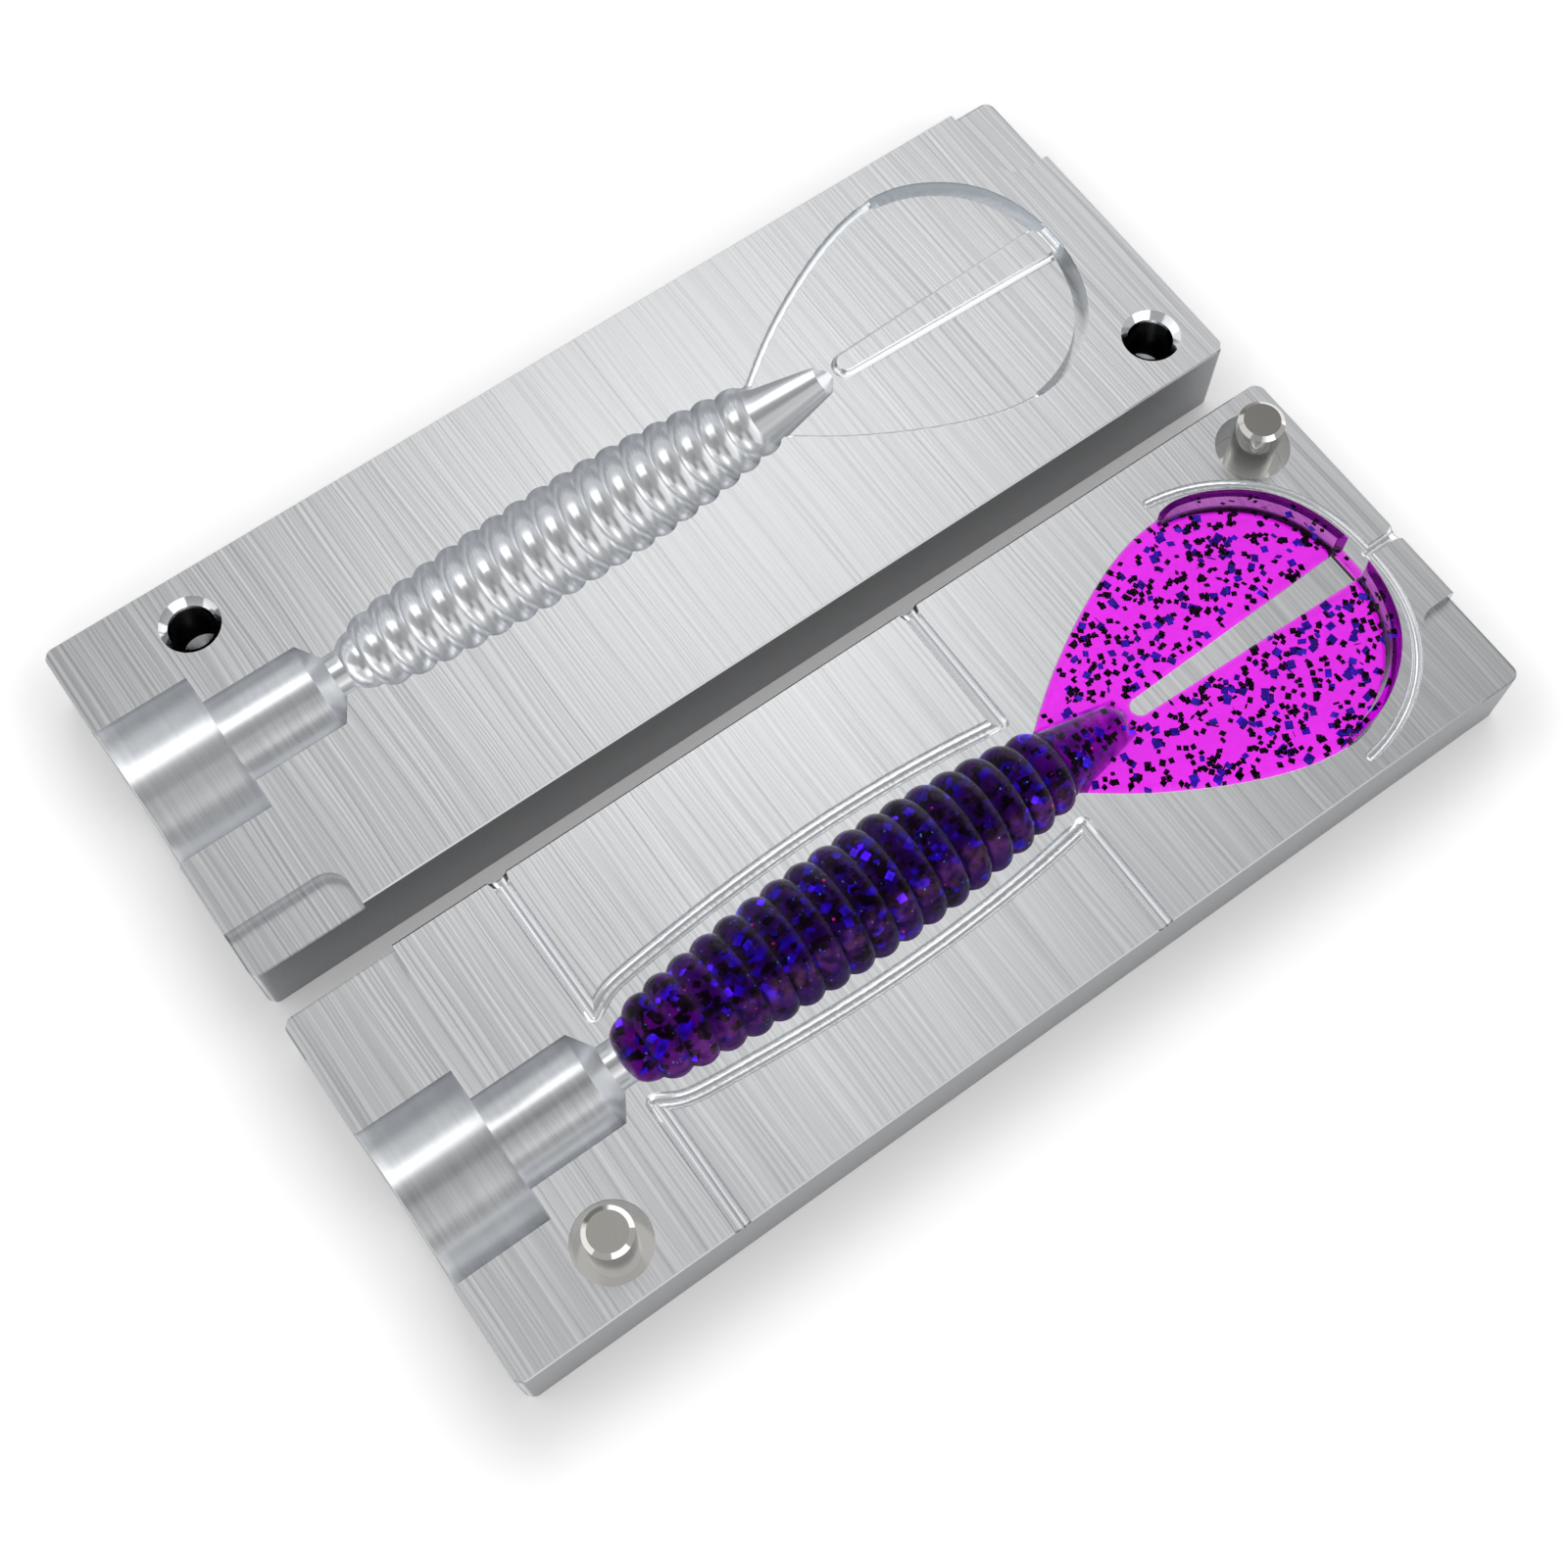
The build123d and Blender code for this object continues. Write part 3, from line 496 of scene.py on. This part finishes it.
# ---------------------------------------------------------------- floor and light
bpy.ops.mesh.primitive_plane_add(size=6.0, location=(0, 0, 0))
floor = bpy.context.object
floor.name = "floor"
fm, n = material("floor")
tc = n.new("ShaderNodeTexCoord")
p = n.new("ShaderNodeBsdfPrincipled")
tone = n.mapr(n.noise(tc.outputs["Object"], 3.0, 0.0, 0.5), 0.3, 0.7, 0.985, 1.0)
n.put(p.inputs["Base Color"], n.scalec((0.95, 0.95, 0.955), tone))
p.inputs["Roughness"].default_value = 0.9
p.inputs["Specular IOR Level"].default_value = 0.1
fx, fy, fz = n.xyz(tc.outputs["Object"])
away = n.vmath("LENGTH", n.combine(n.math("MAXIMUM", n.math("SUBTRACT", n.math("ABSOLUTE", fx), 0.058), 0.0),
                                   n.math("MAXIMUM", n.math("SUBTRACT", n.math("ABSOLUTE", fy), 0.0425), 0.0), 0.0))
# painted light: the floor glows, more the farther it lies from the mould, which narrows the shadows around it
p.inputs["Emission Color"].default_value = (1.0, 1.0, 1.0, 1.0)
n.put(p.inputs["Emission Strength"], n.mapr(away, 0.0, 0.011, 0.17, 0.42, smooth=True))
out = n.new("ShaderNodeOutputMaterial")
n.link(p.outputs[0], out.inputs["Surface"])
floor.data.materials.append(fm)

world = bpy.data.worlds.new("studio")
scene.world = world
world.use_nodes = True


def straight(stops, at):
    """Value at a position on a broken line of (position, value)."""
    for (p0, v0), (p1, v1) in zip(stops, stops[1:]):
        if at <= p1:
            return v0 + (v1 - v0) * max(0.0, at - p0) / (p1 - p0)
    return stops[-1][1]


def shared_ramp(w, fac, lines):
    """One colour ramp that carries up to four broken lines, one in each channel."""
    lines = list(lines) + [[(0.0, 0.0), (1.0, 0.0)]] * (4 - len(lines))
    ramp = w.new("ShaderNodeValToRGB")
    w.link(fac, ramp.inputs[0])
    fill_ramp(ramp.color_ramp, [(at, tuple(straight(l, at) for l in lines)) for at in sorted({p for l in lines for p, _ in l})])
    return ramp.outputs


# the studio's panels: azimuths of each, and its radiance between angles from the zenith
SECTORS = {
    "front": ((-118, -62), ((12, 30, 0.30), (30, 47, 0.36), (47, 82, 1.60), (82, 95, 1.00))),
    "left": ((125, 190), ((12, 34, 0.30), (34, 62, 0.85), (62, 95, 1.15))),
    "right_a": ((12, 70), ((12, 34, 0.90), (34, 62, 0.60), (62, 95, 1.60))),
    "right_b": ((-14, 10), ((12, 34, 0.20), (34, 62, 0.85), (62, 95, 1.45))),
    "back": ((70, 125), ((12, 34, 0.58), (34, 62, 0.42), (62, 95, 0.90))),
    "gap_left": ((190, 242), ((12, 34, 0.40), (34, 62, 0.40), (62, 95, 0.50))),
    "gap_right": ((-62, -14), ((12, 34, 0.34), (34, 62, 0.40), (62, 95, 0.50))),
}
TOP = 0.62
LAMP_AT = (60.0, 31.0)                                           # azimuth and angle from the zenith of the round lamp
LAMPS = ((4.0, 10.0, 1.12), (10.0, 18.0, 0.22), (18.0, 30.0, 0.05))      # its core and halo
GAIN = 1.30


def heights(bands):
    """A sector's radiance over the angle from the zenith / 100, with soft steps between its bands."""
    stops = [(0.11, TOP)]
    for k, (lo, hi, v) in enumerate(bands):
        below, above = (0.025 if k == 0 else 0.035), (0.01 if k == 2 else 0.035)
        stops += [(at, v) for at in (lo / 100 + below, hi / 100 - above) if at < 0.94]
    return stops + [(1.0, bands[-1][2])]


def turn(az):
    """1 between a sector's azimuths and 0 outside, over (azimuth + 180) / 360."""
    soft, stops = 0.5, []
    for shift in (-360, 0, 360):
        lo, hi = az[0] + shift, az[1] + shift
        stops += [(lo - soft, 0.0), (lo + soft, 1.0), (hi - soft, 1.0), (hi + soft, 0.0)]
    stops = [((a + 180) / 360, v) for a, v in stops]
    inside = [(a, v) for a, v in stops if 0.0 < a < 1.0]
    return [(0.0, straight(stops, 0.0))] + inside + [(1.0, straight(stops, 1.0))]


def studio():
    w = Nodes(world.node_tree)
    tc = w.new("ShaderNodeTexCoord")
    x, y, z = w.xyz(tc.outputs["Generated"])
    polar = w.math("MULTIPLY", w.math("ARCCOSINE", z), 1.8 / math.pi)
    azim = w.math("MULTIPLY_ADD", w.math("ARCTAN2", y, x), 0.5 / math.pi, 0.5)
    total = None
    sectors = list(SECTORS.values())
    for part in (sectors[:4], sectors[4:]):
        high = shared_ramp(w, polar, [heights(bands) for _, bands in part])
        round_ = shared_ramp(w, azim, [turn(az) for az, _ in part])
        sums = w.vmath("DOT_PRODUCT", high["Color"], round_["Color"])
        if len(part) > 3:
            sums = w.math("MULTIPLY_ADD", high["Alpha"], round_["Alpha"], sums)
        total = sums if total is None else w.math("ADD", total, sums)
    a, t = math.radians(LAMP_AT[0]), math.radians(LAMP_AT[1])
    d = w.vmath("DOT_PRODUCT", tc.outputs["Generated"], (math.sin(t) * math.cos(a), math.sin(t) * math.sin(a), math.cos(t)))
    off = w.math("MULTIPLY", w.math("ARCCOSINE", w.math("MINIMUM", d, 1.0)), 180 / math.pi)
    for r0, r1, v in LAMPS:
        total = w.math("ADD", total, w.mapr(off, r0, r1, v, 0.0, smooth=True))
    bg = w.new("ShaderNodeBackground")
    w.put(bg.inputs["Strength"], w.math("MULTIPLY", total, GAIN))
    wo = w.new("ShaderNodeOutputWorld")
    w.link(bg.outputs[0], wo.inputs["Surface"])


studio()
